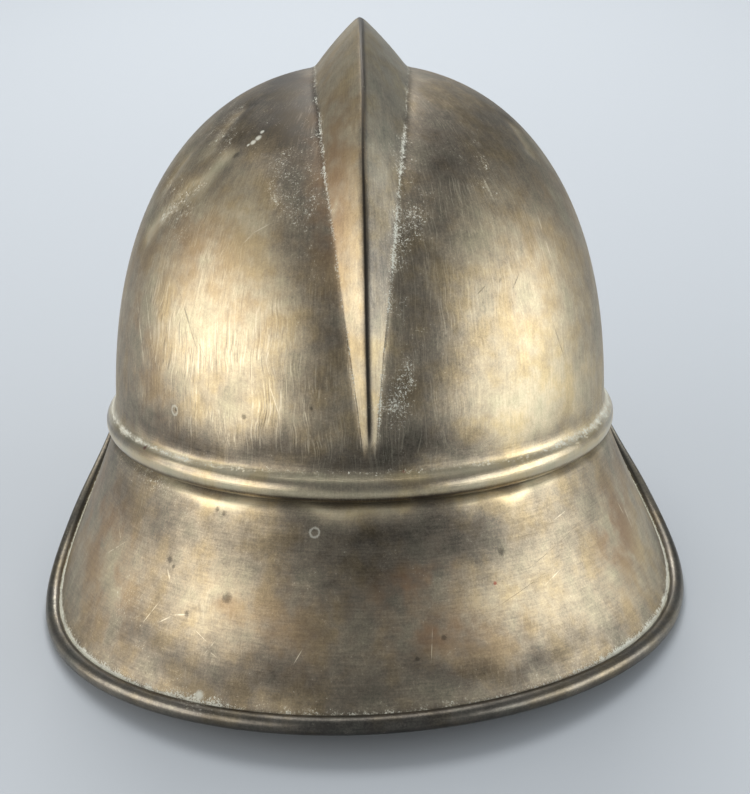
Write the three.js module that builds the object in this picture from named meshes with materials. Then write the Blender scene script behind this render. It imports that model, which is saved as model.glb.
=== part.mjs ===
// Brass fire helmet, standing by itself on its rolled edges.
// The skull is one pressed sheet, with a hollow comb over the crown and a hollow bead round its
// lower edge. A flared neck guard behind and a short peak in front are tucked up inside the bead,
// and their free edges are rolled round.
// Lengths are millimetres. The helmet is shaped upright: +Z is up, -Y is the rear, and z = 0 is
// the middle of the bead. At the end it is tipped until it stands on three points of its edges.

import * as THREE from 'three';

// Sheet
const sheet = 0.8;
const clearance = 0.3;

// Dome of the skull, measured outside and from the middle of the bead
const skull_half_width = 102;
const skull_half_length = 120;
const skull_height = 142.6;
const crown_lean = 1.8;

// Comb, measured where it crosses the crown, except its tips
const comb_half_width = 18.8;
const comb_height = 18.6;
const comb_tip_half_width = 2.6;
const crest_radius = 1.5;
const comb_drift = 3;

// Bead round the skull's lower edge
const bead_rise = 4;
const bead_half_height = 5;
const bead_fillet = 4.5;

// Dents in the skull
const dent_width = 6;
const dent_depth = 1.2;

// Neck guard. The reach is how far it flares past the skull at the sides and at the rear.
const guard_drop = 74;
const guard_side_reach = 31.2;
const guard_rear_reach = 34;
const guard_askew = 2.8;

// Front peak
const peak_drop = 38;
const peak_side_reach = 17;
const peak_front_reach = 40;

// Flange and rolled edge that the guard and the peak share
const flange_height = 11;
const roll_radius = 3.6;
const roll_rise = 1.2;

// Angles in degrees, from the middle of the rear or front to where each piece ends
const guard_half_angle = 97.2;
const peak_half_angle = 75;

// Powers of the curves: 2 is an ellipse, and more is squarer
const wall_power = 2.39;
const crown_power = 2.26;
const comb_taper_power = 1.33;
const comb_side_power = 0.93;
const flare_power = 1.14;
const guard_corner_powers = [7, 1.8];
const peak_corner_powers = [3.0, 2.2];

// The rolled edges swell from this share of their size at their ends to their full size where
// they have run this share of the piece's drop down
const roll_end_share = 0.45;
const roll_swell_share = 0.6;

// Comb's sideways drift: share of the way from the rear tip to the front tip, share of comb_drift
const comb_drift_rows = [
  [0.0, 0.2],
  [0.125, 0.1],
  [0.25, 0.2],
  [0.375, 0.6],
  [0.5, 1.0],
  [1.0, 0.0],
];

// Dents: across and up where each starts, across and up where it ends, width, depth.
// They are shares of skull_half_width, skull_height, dent_width and dent_depth.
const dent_rows = [
  [-0.46, 0.9, -0.57, 0.81, 0.9, 0.7],
  [-0.5, 0.81, -0.6, 0.73, 1.1, 0.9],
  [-0.67, 0.78, -0.75, 0.7, 0.9, 0.7],
  [-0.66, 0.71, -0.82, 0.58, 1.2, 1.0],
  [0.6, 0.84, 0.65, 0.78, 0.8, 0.7],
];

// Fineness of the facets
const skull_rows = 36;
const comb_columns = [0.1, 0.4, 0.7, 1];
const side_columns = 14;
const fillet_steps = 2;
const bead_steps = 4;
const guard_columns = 48;
const guard_rows = 8;
const peak_columns = 30;
const peak_rows = 6;
const roll_steps = 9;

const { lerp, smoothstep, degToRad } = THREE.MathUtils;

// The grid of the dome is a fan of planes through a line across the helmet at this height
const fan_height = bead_half_height + bead_fillet;

// The guard and the peak end at this drop, just under the bead
const end_drop = bead_half_height + 4 * clearance;
const comb_fade = degToRad(4);
const up = new THREE.Vector3(0, 0, 1);

// Value between the rows of a table of [place, value], with level ends to each stretch
function between(rows, place) {
  const next = Math.max(1, rows.findIndex((row) => row[0] >= place));
  const [from, to] = [rows[next - 1], rows[next]];
  return lerp(from[1], to[1], smoothstep(place, from[0], to[0]));
}

// 1 on the dome, less inside it
function domeLevel(point, inset) {
  const side = (point.x - crown_lean * point.z / skull_height) / (skull_half_width - inset);
  const end = point.y / (skull_half_length - inset);
  const height = point.z / (skull_height - inset);
  return Math.hypot(side, end) ** crown_power + height ** wall_power;
}

// Point of the dome in a direction from the middle of the fan
function domePoint(direction, inset) {
  const point = new THREE.Vector3();
  let near = 0;
  let far = skull_half_width + skull_half_length + skull_height;
  for (let halving = 0; halving < 40; halving += 1) {
    const reach = (near + far) / 2;
    point.copy(direction).multiplyScalar(reach);
    point.z += fan_height;
    if (domeLevel(point, inset) > 1) far = reach;
    else near = reach;
  }
  return point;
}

// Point of the upright wall near the bead, at an angle from the middle of the rear (facing -1)
// or of the front (facing 1), moved out by the given amounts at the sides and at the ends
function wallPoint(facing, angle, z, sideways, endways) {
  const rise = Math.max(z, 0) / skull_height;
  const shrink = (1 - rise ** wall_power) ** (1 / crown_power);
  return new THREE.Vector3(
    (skull_half_width * shrink + sideways) * Math.sin(angle) + crown_lean * rise,
    facing * (skull_half_length * shrink + endways) * Math.cos(angle),
    z,
  );
}

// Ends of each dent on the rear of the dome
const dents = dent_rows.map(([x1, z1, x2, z2, width, depth]) => {
  const [start, end] = [[x1, z1], [x2, z2]].map(([across, height]) => {
    const shrink = (1 - height ** wall_power) ** (2 / crown_power);
    return new THREE.Vector3(
      across * skull_half_width + crown_lean * height,
      -skull_half_length * Math.sqrt(Math.max(shrink - across * across, 0)),
      height * skull_height,
    );
  });
  return { line: new THREE.Line3(start, end), width: width * dent_width, depth: depth * dent_depth };
});

function dentDepth(point) {
  const nearest = new THREE.Vector3();
  return dents.reduce((sum, { line, width, depth }) => {
    const distance = line.closestPointToPoint(point, true, nearest).distanceTo(point);
    return sum + depth * Math.exp(-((distance / width) ** 2));
  }, 0);
}

// Shares of the comb's half-width and half-turn at which the skull has columns, left to right
const half_columns = [
  ...comb_columns.map((share) => ({ comb: share, side: 0 })),
  ...Array.from({ length: side_columns }, (_, i) => ({ comb: 1, side: (i + 1) / side_columns })),
];
const skull_columns = [
  ...half_columns.map(({ comb, side }) => ({ comb: -comb, side: -side })).reverse(),
  { comb: 0, side: 0 },
  ...half_columns,
];

// Height of the comb over the dome, at a share of its half-width from the crest
function combRise(half_width, share) {
  const slope = (rounding, across) => Math.max(1 - Math.hypot(across, rounding), 0) ** comb_side_power;
  const full = slope(crest_radius / comb_half_width, 0);
  return comb_height * (half_width / comb_half_width) * slope(crest_radius / half_width, share) / full;
}

// Point of the skull in the plane at a turn from the rear, in a column, inset from the outside.
// The comb's sides stand near 45 degrees, so an inset takes tan(22.5) of itself off its half-width.
function skullPoint(turn, column, inset) {
  const plane = new THREE.Vector3(0, -Math.cos(turn), Math.sin(turn));
  const reach = domePoint(plane, inset).distanceTo(new THREE.Vector3(0, 0, fan_height));
  const widening = comb_half_width - comb_tip_half_width;
  const half_width = comb_tip_half_width + widening * Math.sin(turn) ** comb_taper_power
    - inset * Math.tan(Math.PI / 8);
  const middle = comb_drift * between(comb_drift_rows, turn / Math.PI) / reach;
  const foot = middle + column.comb * half_width / reach;
  const lateral = lerp(foot, Math.sign(column.side) * Math.PI / 2, Math.abs(column.side));
  const direction = plane.clone().multiplyScalar(Math.cos(lateral));
  direction.x = Math.sin(lateral);
  const point = domePoint(direction, inset);
  const fade = smoothstep(turn, 0, comb_fade) * smoothstep(Math.PI - turn, 0, comb_fade);
  const dent = dentDepth(point);
  point.addScaledVector(plane, fade * combRise(half_width, Math.abs(column.comb)));
  return point.addScaledVector(direction, -dent);
}

// Section of the bead, from the foot of the dome down: how far out and how high
function beadSection(inset) {
  const rise = bead_rise - inset;
  const half_height = bead_half_height - inset;
  const [first, last] = [degToRad(55), degToRad(-75)];
  const top = new THREE.Vector2(rise * Math.cos(first), half_height * Math.sin(first));
  const run = (top.x + inset) / (rise * Math.sin(first));
  const corner = new THREE.Vector2(-inset, top.y + run * half_height * Math.cos(first));
  const fillet = new THREE.QuadraticBezierCurve(new THREE.Vector2(-inset, fan_height), corner, top);
  const arc = new THREE.EllipseCurve(0, 0, rise, half_height, first, last, true);
  return [...fillet.getPoints(fillet_steps), ...arc.getPoints(bead_steps).slice(1)];
}

// A mesh under construction: points, and triangles between them
class Shell {
  points = [];

  faces = [];

  add(point) {
    this.points.push(point);
    return this.points.length - 1;
  }

  triangle(a, b, c) {
    if (a !== b && b !== c && c !== a) this.faces.push(a, b, c);
  }

  quad(a, b, c, d) {
    this.triangle(a, b, c);
    this.triangle(a, c, d);
  }

  mesh(name, material) {
    const geometry = new THREE.BufferGeometry().setFromPoints(this.points);
    geometry.setIndex(this.faces);
    geometry.computeVertexNormals();
    const mesh = new THREE.Mesh(geometry, material);
    mesh.name = name;
    return mesh;
  }
}

// One face of the dome and comb. Returns the loop of its lower edge, from the left side round
// the rear and back along the front.
function addDome(shell, inset) {
  const last = skull_columns.length - 1;
  const poles = [0, last].map((j) => shell.add(skullPoint(0, skull_columns[j], inset)));
  const grid = Array.from({ length: skull_rows + 1 }, (_, i) => {
    const turn = Math.PI * i / skull_rows;
    const inner = skull_columns.slice(1, last).map((column) => shell.add(skullPoint(turn, column, inset)));
    return [poles[0], ...inner, poles[1]];
  });
  for (let i = 0; i < skull_rows; i += 1) {
    for (let j = 0; j < last; j += 1) {
      const corners = [grid[i][j], grid[i][j + 1], grid[i + 1][j + 1], grid[i + 1][j]];
      if (inset > 0) corners.reverse();
      shell.quad(...corners);
    }
  }
  return [...grid[0], ...grid[skull_rows].slice(1, last).reverse()];
}

// Loops of the bead's face below a loop of the dome's lower edge, downwards
function addBead(shell, edge, inset) {
  const angles = edge.map((index) => {
    const { x, y } = shell.points[index];
    const lean = crown_lean * fan_height / skull_height;
    return Math.atan2((x - lean) / (skull_half_width - inset), -y / (skull_half_length - inset));
  });
  const loops = beadSection(inset).slice(1).map(({ x, y }) => (
    angles.map((angle) => shell.add(wallPoint(-1, angle, y, x, x)))
  ));
  return [edge, ...loops];
}

function makeSkull(material) {
  const shell = new Shell();
  const outside = addBead(shell, addDome(shell, 0), 0);
  const inside = addBead(shell, addDome(shell, sheet), sheet);
  const loops = [...outside, ...inside.reverse()];
  for (let k = 0; k < loops.length - 1; k += 1) {
    loops[k].forEach((index, p) => {
      const next = (p + 1) % loops[k].length;
      shell.quad(index, loops[k + 1][p], loops[k + 1][next], loops[k][next]);
    });
  }
  return shell.mesh('skull', material);
}

// Outer face of a flared piece, at an angle from its middle and a drop below the bead's middle.
// It hangs inside the skull's wall, bends out under the bead's lip and flares from there.
function facePoint(piece, angle, drop) {
  const share = Math.max(drop, 0) / piece.drop;
  const bent = smoothstep(drop, 0.6 * bead_half_height, 1.6 * bead_half_height);
  const tucked = -(sheet + clearance);
  const sideways = lerp(tucked, piece.side_reach * share ** flare_power, bent);
  const endways = lerp(tucked, piece.end_reach * share ** flare_power, bent);
  const point = wallPoint(piece.facing, angle, -drop, sideways, endways);
  point.z += piece.askew * share * point.x / skull_half_width;
  return point;
}

function faceNormal(piece, angle, drop) {
  const step = 1e-3;
  const along = facePoint(piece, angle + step, drop).sub(facePoint(piece, angle - step, drop));
  const down = facePoint(piece, angle, drop + step).sub(facePoint(piece, angle, drop - step));
  return down.cross(along).multiplyScalar(-piece.facing).normalize();
}

// Where the free edge runs, by a sweep from -90 to 90 degrees
function edgePlace(piece, sweep) {
  const [across_power, fall_power] = piece.corner_powers;
  const across = Math.sin(sweep);
  const fall = Math.max(1 - Math.abs(across) ** across_power, 0);
  return { angle: piece.half_angle * across, drop: piece.drop * fall ** (1 / fall_power) };
}

function edgePoint(piece, sweep) {
  const { angle, drop } = edgePlace(piece, sweep);
  return facePoint(piece, angle, drop);
}

// Closed section of a flared piece: down the outer face, round the rolled edge, up the inner face
function flaredSection(piece, sweep) {
  const { angle, drop } = edgePlace(piece, sweep);
  const outer = [];
  const inner = [];
  for (let m = 0; m <= piece.rows; m += 1) {
    const start = 0.6 * bead_half_height;
    const height = m === 0 ? -flange_height : lerp(start, drop, ((m - 1) / (piece.rows - 1)) ** 1.8);
    const point = facePoint(piece, angle, height);
    outer.push(point);
    inner.push(point.clone().addScaledVector(faceNormal(piece, angle, height), -sheet));
  }
  const normal = faceNormal(piece, angle, drop);
  const step = 1e-3;
  const away = edgePoint(piece, sweep + step).sub(edgePoint(piece, sweep - step))
    .cross(normal).multiplyScalar(-piece.facing).normalize();
  const size = lerp(roll_end_share, 1, smoothstep(drop, end_drop, roll_swell_share * piece.drop));
  const [radius, rise, rise_in] = [size * roll_radius, size * roll_rise, size * roll_rise + sheet];
  const run_out = Math.sqrt(radius ** 2 - rise ** 2);
  const run_in = Math.sqrt(radius ** 2 - rise_in ** 2);
  const middle = outer.at(-1).clone().addScaledVector(away, run_out).addScaledVector(normal, rise);
  const first = Math.PI + Math.atan2(rise, run_out);
  const last = Math.atan2(rise_in, run_in) - Math.PI;
  const roll = Array.from({ length: roll_steps + 1 }, (_, i) => {
    const turn = lerp(first, last, (i + 1) / (roll_steps + 1));
    return middle.clone()
      .addScaledVector(away, radius * Math.cos(turn))
      .addScaledVector(normal, radius * Math.sin(turn));
  });
  inner[piece.rows] = roll.pop();
  return [...outer, ...roll, ...inner.reverse()];
}

function makeFlared(name, piece, material) {
  const shell = new Shell();
  const [across_power, fall_power] = piece.corner_powers;
  const end_sweep = Math.asin((1 - (end_drop / piece.drop) ** fall_power) ** (1 / across_power));
  const loops = Array.from({ length: piece.columns + 1 }, (_, j) => {
    const sweep = lerp(-end_sweep, end_sweep, j / piece.columns);
    return flaredSection(piece, sweep).map((point) => shell.add(point));
  });
  const quad = (...corners) => shell.quad(...(piece.facing < 0 ? corners : corners.reverse()));
  const size = loops[0].length;
  for (let j = 0; j < piece.columns; j += 1) {
    for (let m = 0; m < size; m += 1) {
      const next = (m + 1) % size;
      quad(loops[j][m], loops[j][next], loops[j + 1][next], loops[j + 1][m]);
    }
  }
  const closeEnd = (loop, closer) => {
    for (let m = 0; m < piece.rows; m += 1) {
      closer(loop[m], loop[m + 1], loop[size - 2 - m], loop[size - 1 - m]);
    }
    for (let i = 1; i <= roll_steps; i += 1) {
      closer(loop[piece.rows], loop[piece.rows + i], loop[piece.rows + i + 1], loop[piece.rows]);
    }
  };
  closeEnd(loops.at(-1), quad);
  closeEnd(loops[0], (...corners) => quad(...corners.reverse()));
  return shell.mesh(name, material);
}

function meshPoints(mesh) {
  const positions = mesh.geometry.getAttribute('position');
  return Array.from({ length: positions.count }, (_, i) => (
    new THREE.Vector3().fromBufferAttribute(positions, i)
  ));
}

// The turn that brings the lowest points of three groups of points level
function levelTurn(groups) {
  const turn = new THREE.Quaternion();
  for (let pass = 0; pass < 12; pass += 1) {
    const [a, b, c] = groups.map((points) => points
      .map((point) => point.clone().applyQuaternion(turn))
      .reduce((lowest, point) => (point.z < lowest.z ? point : lowest)));
    const normal = b.sub(a).cross(c.sub(a)).normalize();
    if (normal.z < 0) normal.negate();
    turn.premultiply(new THREE.Quaternion().setFromUnitVectors(normal, up));
  }
  return turn;
}

const skull_brass = new THREE.MeshStandardMaterial({ color: 0x8c7f5e, roughness: 0.38, metalness: 1 });
const guard_brass = new THREE.MeshStandardMaterial({ color: 0x938667, roughness: 0.42, metalness: 1 });
const peak_brass = new THREE.MeshStandardMaterial({ color: 0x938667, roughness: 0.42, metalness: 1 });

const skull = makeSkull(skull_brass);

const neck_guard = makeFlared('neck_guard', {
  facing: -1,
  drop: guard_drop,
  side_reach: guard_side_reach,
  end_reach: guard_rear_reach,
  askew: guard_askew,
  half_angle: degToRad(guard_half_angle),
  corner_powers: guard_corner_powers,
  columns: guard_columns,
  rows: guard_rows,
}, guard_brass);

const front_peak = makeFlared('front_peak', {
  facing: 1,
  drop: peak_drop,
  side_reach: peak_side_reach,
  end_reach: peak_front_reach,
  askew: 0,
  half_angle: degToRad(peak_half_angle),
  corner_powers: peak_corner_powers,
  columns: peak_columns,
  rows: peak_rows,
}, peak_brass);

// The helmet stands on the guard's two corners and on the peak, over the middle of the floor
const helmet = new THREE.Group();
helmet.add(skull, neck_guard, front_peak);
const guard_points = meshPoints(neck_guard);
helmet.quaternion.copy(levelTurn([
  guard_points.filter((point) => point.x < 0),
  guard_points.filter((point) => point.x > 0),
  meshPoints(front_peak),
]));
const box = new THREE.Box3();
helmet.children.forEach((mesh) => {
  meshPoints(mesh).forEach((point) => box.expandByPoint(point.applyQuaternion(helmet.quaternion)));
});
const middle = box.getCenter(new THREE.Vector3());
helmet.position.set(-middle.x, -middle.y, -box.min.z);

const part = new THREE.Group();
part.add(helmet);

export default part;
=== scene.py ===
import math

import bpy
import numpy as np
from mathutils import Matrix, Vector


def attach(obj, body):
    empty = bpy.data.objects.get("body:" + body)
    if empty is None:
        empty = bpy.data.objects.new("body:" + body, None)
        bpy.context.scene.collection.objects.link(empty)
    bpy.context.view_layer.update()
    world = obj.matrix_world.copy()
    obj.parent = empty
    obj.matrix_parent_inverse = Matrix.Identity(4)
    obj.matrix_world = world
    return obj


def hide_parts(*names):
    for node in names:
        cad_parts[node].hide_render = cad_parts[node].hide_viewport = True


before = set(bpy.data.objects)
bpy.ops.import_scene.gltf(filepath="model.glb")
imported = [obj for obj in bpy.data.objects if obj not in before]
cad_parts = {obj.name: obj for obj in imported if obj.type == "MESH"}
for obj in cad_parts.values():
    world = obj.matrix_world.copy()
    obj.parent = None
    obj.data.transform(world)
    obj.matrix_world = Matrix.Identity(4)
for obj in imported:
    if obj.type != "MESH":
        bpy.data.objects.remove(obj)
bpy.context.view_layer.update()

# Sizes of the helmet in millimetres, as its frame has them. It is shaped upright, with +Z up,
# -Y to the rear and z = 0 in the middle of the bead, and then tipped until it stands.
MM = 0.001
SHEET = 0.8
CLEARANCE = 0.3
SKULL_HALF_WIDTH = 102.0
SKULL_HALF_LENGTH = 120.0
SKULL_HEIGHT = 142.6
CROWN_LEAN = 1.8
COMB_HALF_WIDTH = 18.8
COMB_HEIGHT = 18.6
COMB_TIP_HALF_WIDTH = 2.6
CREST_RADIUS = 1.5
COMB_DRIFT = 3.0
BEAD_RISE = 4.0
BEAD_HALF_HEIGHT = 5.0
BEAD_FILLET = 4.5
DENT_WIDTH = 6.0
DENT_DEPTH = 1.2
FLANGE_HEIGHT = 11.0
ROLL_RADIUS = 3.6
ROLL_RISE = 1.2
WALL_POWER = 2.39
CROWN_POWER = 2.26
COMB_TAPER_POWER = 1.33
COMB_SIDE_POWER = 0.93
FLARE_POWER = 1.14
ROLL_END_SHARE = 0.45
ROLL_SWELL_SHARE = 0.6
FAN_HEIGHT = BEAD_HALF_HEIGHT + BEAD_FILLET
COMB_FADE = math.radians(4)
COMB_FILLET = 1.8
BEND_TOP = 0.6 * BEAD_HALF_HEIGHT
BEND_BOTTOM = 1.6 * BEAD_HALF_HEIGHT
END_DROP = BEAD_HALF_HEIGHT + 4 * CLEARANCE
BEAD_ARC = (math.radians(55), math.radians(-75))

# Comb's sideways drift: share of the way from the rear tip to the front tip, share of COMB_DRIFT
COMB_DRIFT_ROWS = [(0.0, 0.2), (0.125, 0.1), (0.25, 0.2), (0.375, 0.6), (0.5, 1.0), (1.0, 0.0)]

# Dents: across and up where each starts, across and up where it ends, width, depth, as shares of
# SKULL_HALF_WIDTH, SKULL_HEIGHT, DENT_WIDTH and DENT_DEPTH
DENT_ROWS = [
    (-0.46, 0.90, -0.57, 0.81, 0.9, 0.7),
    (-0.50, 0.81, -0.60, 0.73, 1.1, 0.9),
    (-0.67, 0.78, -0.75, 0.70, 0.9, 0.7),
    (-0.66, 0.71, -0.82, 0.58, 1.2, 1.0),
    (0.60, 0.84, 0.65, 0.78, 0.8, 0.7),
]

GUARD = dict(
    facing=-1, drop=74.0, side_reach=31.2, end_reach=34.0, askew=2.8,
    half_angle=math.radians(97.2), corner_powers=(7.0, 1.8), columns=48, rows=8,
)
PEAK = dict(
    facing=1, drop=38.0, side_reach=17.0, end_reach=40.0, askew=0.0,
    half_angle=math.radians(75), corner_powers=(3.0, 2.2), columns=30, rows=6,
)

# Steps of the coarser pieces that the helmet's stand is worked out from, and how much closer
# their rows lie towards the bead
FRAME_ROLL_STEPS = 9
FRAME_CROWDING = 1.8

# Steps of the visible meshes. The comb's columns are given by their shares of its half width.
ROLL_STEPS = 22
CROWDING = 1.3
SKULL_TURNS = 241
COMB_SHARES = np.array([0.02, 0.05, 0.085, 0.13, 0.2, 0.32, 0.46, 0.6, 0.74, 0.85, 0.92, 0.97, 1.0])
SIDE_COLUMNS = 67
SIDE_CROWDING = 1.3
BEAD_FILLET_STEPS = 6
BEAD_STEPS = 16
SMOOTH_ANGLE = math.radians(38)

# Rounds of the two searches, and the small step that a slope is measured over
HALVINGS = 40
STANDING_ROUNDS = 12
SLOPE_STEP = 1e-3

# How far under 0 the roll's distance from its seam starts, and the distance from the comb that
# the bead's points are given
SEAM_GAP = 0.01
BEYOND_COMB = 50.0


# Shape of the helmet

def smoothstep(value, low, high):
    share = np.clip((value - low) / (high - low), 0, 1)
    return share * share * (3 - 2 * share)


def mix(first, second, share):
    return first + (second - first) * share


def ridge(value, middle, width):
    """1 at the middle, falling off on both sides over about the width."""
    return np.exp(-(((value - middle) / width) ** 2))


def between(rows, place):
    """Values between the rows of a table of (place, value), with level ends to each stretch."""
    result = np.full_like(place, rows[0][1])
    for (start, low), (end, high) in zip(rows, rows[1:]):
        result = np.where(place >= start, mix(low, high, smoothstep(place, start, end)), result)
    return result


def dome_points(direction, inset):
    """Points of the dome in directions from the middle of the fan, by halving."""
    near = np.zeros(direction.shape[:-1])
    far = np.full_like(near, SKULL_HALF_WIDTH + SKULL_HALF_LENGTH + SKULL_HEIGHT)
    for _ in range(HALVINGS):
        reach = (near + far) / 2
        x, y, z = np.moveaxis(direction * reach[..., None], -1, 0)
        z = z + FAN_HEIGHT
        side = (x - CROWN_LEAN * z / SKULL_HEIGHT) / (SKULL_HALF_WIDTH - inset)
        end = y / (SKULL_HALF_LENGTH - inset)
        level = np.hypot(side, end) ** CROWN_POWER + (z / (SKULL_HEIGHT - inset)) ** WALL_POWER
        far = np.where(level > 1, reach, far)
        near = np.where(level > 1, near, reach)
    return np.stack([x, y, z], -1)


def wall_points(facing, angle, z, sideways, endways):
    """Points of the upright wall near the bead, at angles from the middle of the rear or front."""
    rise = np.maximum(z, 0) / SKULL_HEIGHT
    shrink = (1 - rise ** WALL_POWER) ** (1 / CROWN_POWER)
    x = (SKULL_HALF_WIDTH * shrink + sideways) * np.sin(angle) + CROWN_LEAN * rise
    y = facing * (SKULL_HALF_LENGTH * shrink + endways) * np.cos(angle)
    return np.stack(np.broadcast_arrays(x, y, z), -1)


def dent_depths(points):
    """How deep the dents are at points of the dome, in millimetres."""
    total = np.zeros(points.shape[:-1])
    for x1, z1, x2, z2, width, depth in DENT_ROWS:
        ends = []
        for across, height in ((x1, z1), (x2, z2)):
            shrink = (1 - height ** WALL_POWER) ** (2 / CROWN_POWER)
            ends.append(np.array([
                across * SKULL_HALF_WIDTH + CROWN_LEAN * height,
                -SKULL_HALF_LENGTH * math.sqrt(max(shrink - across * across, 0)),
                height * SKULL_HEIGHT,
            ]))
        run = ends[1] - ends[0]
        share = np.clip((points - ends[0]) @ run / (run @ run), 0, 1)
        distance = np.linalg.norm(points - ends[0] - share[..., None] * run, axis=-1)
        total += depth * DENT_DEPTH * ridge(distance, 0, width * DENT_WIDTH)
    return total


def comb_rise(half_width, share):
    """Height of the comb at shares of its half width, with its crest rounded."""
    def slope(rounding, across):
        return np.maximum(1 - np.hypot(across, rounding), 0) ** COMB_SIDE_POWER
    full = slope(CREST_RADIUS / COMB_HALF_WIDTH, 0)
    return COMB_HEIGHT * half_width / COMB_HALF_WIDTH * slope(CREST_RADIUS / half_width, share) / full


def skull_grid(turn, comb, side, inset):
    """Points of the dome and comb, how far each lies inside the comb's foot, and how far from its
    crest, over a grid of turns from the rear and of columns, which are given by their shares of
    the comb's and the side's width."""
    turn = turn[:, None]
    plane = np.stack(np.broadcast_arrays(0.0, -np.cos(turn), np.sin(turn)), -1)
    middle_point = dome_points(plane, inset) - np.array([0, 0, FAN_HEIGHT])
    reach = np.linalg.norm(middle_point, axis=-1)
    sine = np.clip(np.sin(turn), 0, 1)
    half_width = mix(COMB_TIP_HALF_WIDTH, COMB_HALF_WIDTH, sine ** COMB_TAPER_POWER)
    half_width = half_width - inset * math.tan(math.pi / 8)
    middle = COMB_DRIFT * between(COMB_DRIFT_ROWS, turn / math.pi) / reach
    foot = middle + comb * half_width / reach
    lateral = mix(foot, np.sign(side) * math.pi / 2, np.abs(side))
    direction = plane * np.cos(lateral)[..., None]
    direction[..., 0] = np.sin(lateral)
    points = dome_points(direction, inset)
    dents = dent_depths(points)
    inside = np.where(np.abs(comb) < 1, (1 - np.abs(comb)) * half_width,
                      -np.abs(lateral - foot) * reach)
    fillet = np.minimum(COMB_FILLET, half_width / 2)
    fillet_rise = np.maximum(fillet - np.abs(inside), 0) ** 2 / (4 * fillet)
    fade = smoothstep(turn, 0, COMB_FADE) * smoothstep(math.pi - turn, 0, COMB_FADE)
    rise = comb_rise(half_width, np.abs(comb)) + fillet_rise
    points = points + plane * (fade * rise)[..., None]
    points = points - direction * dents[..., None]
    return points, inside, np.abs(lateral - middle) * reach


def bead_section(inset):
    """Section of the bead from the foot of the dome down: how far out and how high."""
    rise, half_height = BEAD_RISE - inset, BEAD_HALF_HEIGHT - inset
    first, last = BEAD_ARC
    top = np.array([rise * math.cos(first), half_height * math.sin(first)])
    run = (top[0] + inset) / (rise * math.sin(first))
    corner = np.array([-inset, top[1] + run * half_height * math.cos(first)])
    t = np.linspace(0, 1, BEAD_FILLET_STEPS + 1)[1:, None]
    fillet = (1 - t) ** 2 * np.array([-inset, FAN_HEIGHT]) + 2 * t * (1 - t) * corner + t ** 2 * top
    turn = np.linspace(first, last, BEAD_STEPS + 1)[1:]
    arc = np.stack([rise * np.cos(turn), half_height * np.sin(turn)], -1)
    return np.concatenate([fillet, arc])


def face_points(piece, angle, drop):
    """Points of the outer face of a flared piece."""
    share = np.maximum(drop, 0) / piece["drop"]
    bent = smoothstep(drop, BEND_TOP, BEND_BOTTOM)
    tucked = -(SHEET + CLEARANCE)
    sideways = mix(tucked, piece["side_reach"] * share ** FLARE_POWER, bent)
    endways = mix(tucked, piece["end_reach"] * share ** FLARE_POWER, bent)
    points = wall_points(piece["facing"], angle, -drop, sideways, endways)
    points[..., 2] += piece["askew"] * share * points[..., 0] / SKULL_HALF_WIDTH
    return points


def unit(vectors):
    return vectors / np.linalg.norm(vectors, axis=-1, keepdims=True)


def face_normals(piece, angle, drop):
    along, down = (face_points(piece, angle + turn, drop + fall)
                   - face_points(piece, angle - turn, drop - fall)
                   for turn, fall in ((SLOPE_STEP, 0), (0, SLOPE_STEP)))
    return unit(np.cross(down, along) * -piece["facing"])


def edge_places(piece, sweep):
    """Angle and drop of the free edge, which sweeps from one end round to the other."""
    across_power, fall_power = piece["corner_powers"]
    across = np.sin(sweep)
    fall = np.maximum(1 - np.abs(across) ** across_power, 0)
    return piece["half_angle"] * across, piece["drop"] * fall ** (1 / fall_power)


def flared_loops(piece, columns, rows, roll_steps, crowding):
    """Closed sections of a flared piece, (columns + 1, points, 3), and each point's distance from
    the seam of its rolled edge, less than 0 on the roll."""
    across_power, fall_power = piece["corner_powers"]
    end_sweep = math.asin((1 - (END_DROP / piece["drop"]) ** fall_power) ** (1 / across_power))
    sweep = np.linspace(-end_sweep, end_sweep, columns + 1)[:, None]
    angle, drop = edge_places(piece, sweep)
    share = (np.arange(rows) / (rows - 1)) ** crowding
    drops = np.concatenate([np.full_like(drop, -FLANGE_HEIGHT), mix(BEND_TOP, drop, share)], 1)
    outer = face_points(piece, angle, drops)
    inner = outer - SHEET * face_normals(piece, angle, drops)
    normal = face_normals(piece, angle, drop)[:, 0]
    ahead, behind = (face_points(piece, *edge_places(piece, sweep + step))[:, 0]
                     for step in (SLOPE_STEP, -SLOPE_STEP))
    away = unit(np.cross(ahead - behind, normal) * -piece["facing"])
    size = mix(ROLL_END_SHARE, 1, smoothstep(drop, END_DROP, ROLL_SWELL_SHARE * piece["drop"]))
    radius, rise, rise_in = size * ROLL_RADIUS, size * ROLL_RISE, size * ROLL_RISE + SHEET
    run_out = np.sqrt(radius ** 2 - rise ** 2)
    run_in = np.sqrt(radius ** 2 - rise_in ** 2)
    middle = outer[:, -1] + away * run_out + normal * rise
    first = math.pi + np.arctan2(rise, run_out)
    last = np.arctan2(rise_in, run_in) - math.pi
    turns = mix(first, last, np.linspace(0, 1, roll_steps + 2)[1:])
    roll = (middle[:, None] + (radius * np.cos(turns))[..., None] * away[:, None]
            + (radius * np.sin(turns))[..., None] * normal[:, None])
    inner[:, -1] = roll[:, -1]
    loops = np.concatenate([outer, roll[:, :-1], inner[:, ::-1]], 1)
    to_edge = np.minimum.accumulate(edge_distance(outer), 1)
    on_roll = -radius * np.abs(turns[:, :-1] - turns[:, :1]) - SEAM_GAP
    from_seam = np.concatenate([to_edge, on_roll, to_edge[:, ::-1]], 1)
    return loops, from_seam


def edge_distance(outer):
    """Distance of each point of the outer face from the nearest point of its free edge."""
    edge = outer[:, -1]
    return np.stack([np.linalg.norm(outer[:, row, None] - edge, axis=-1).min(1)
                     for row in range(outer.shape[1])], 1)


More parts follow.
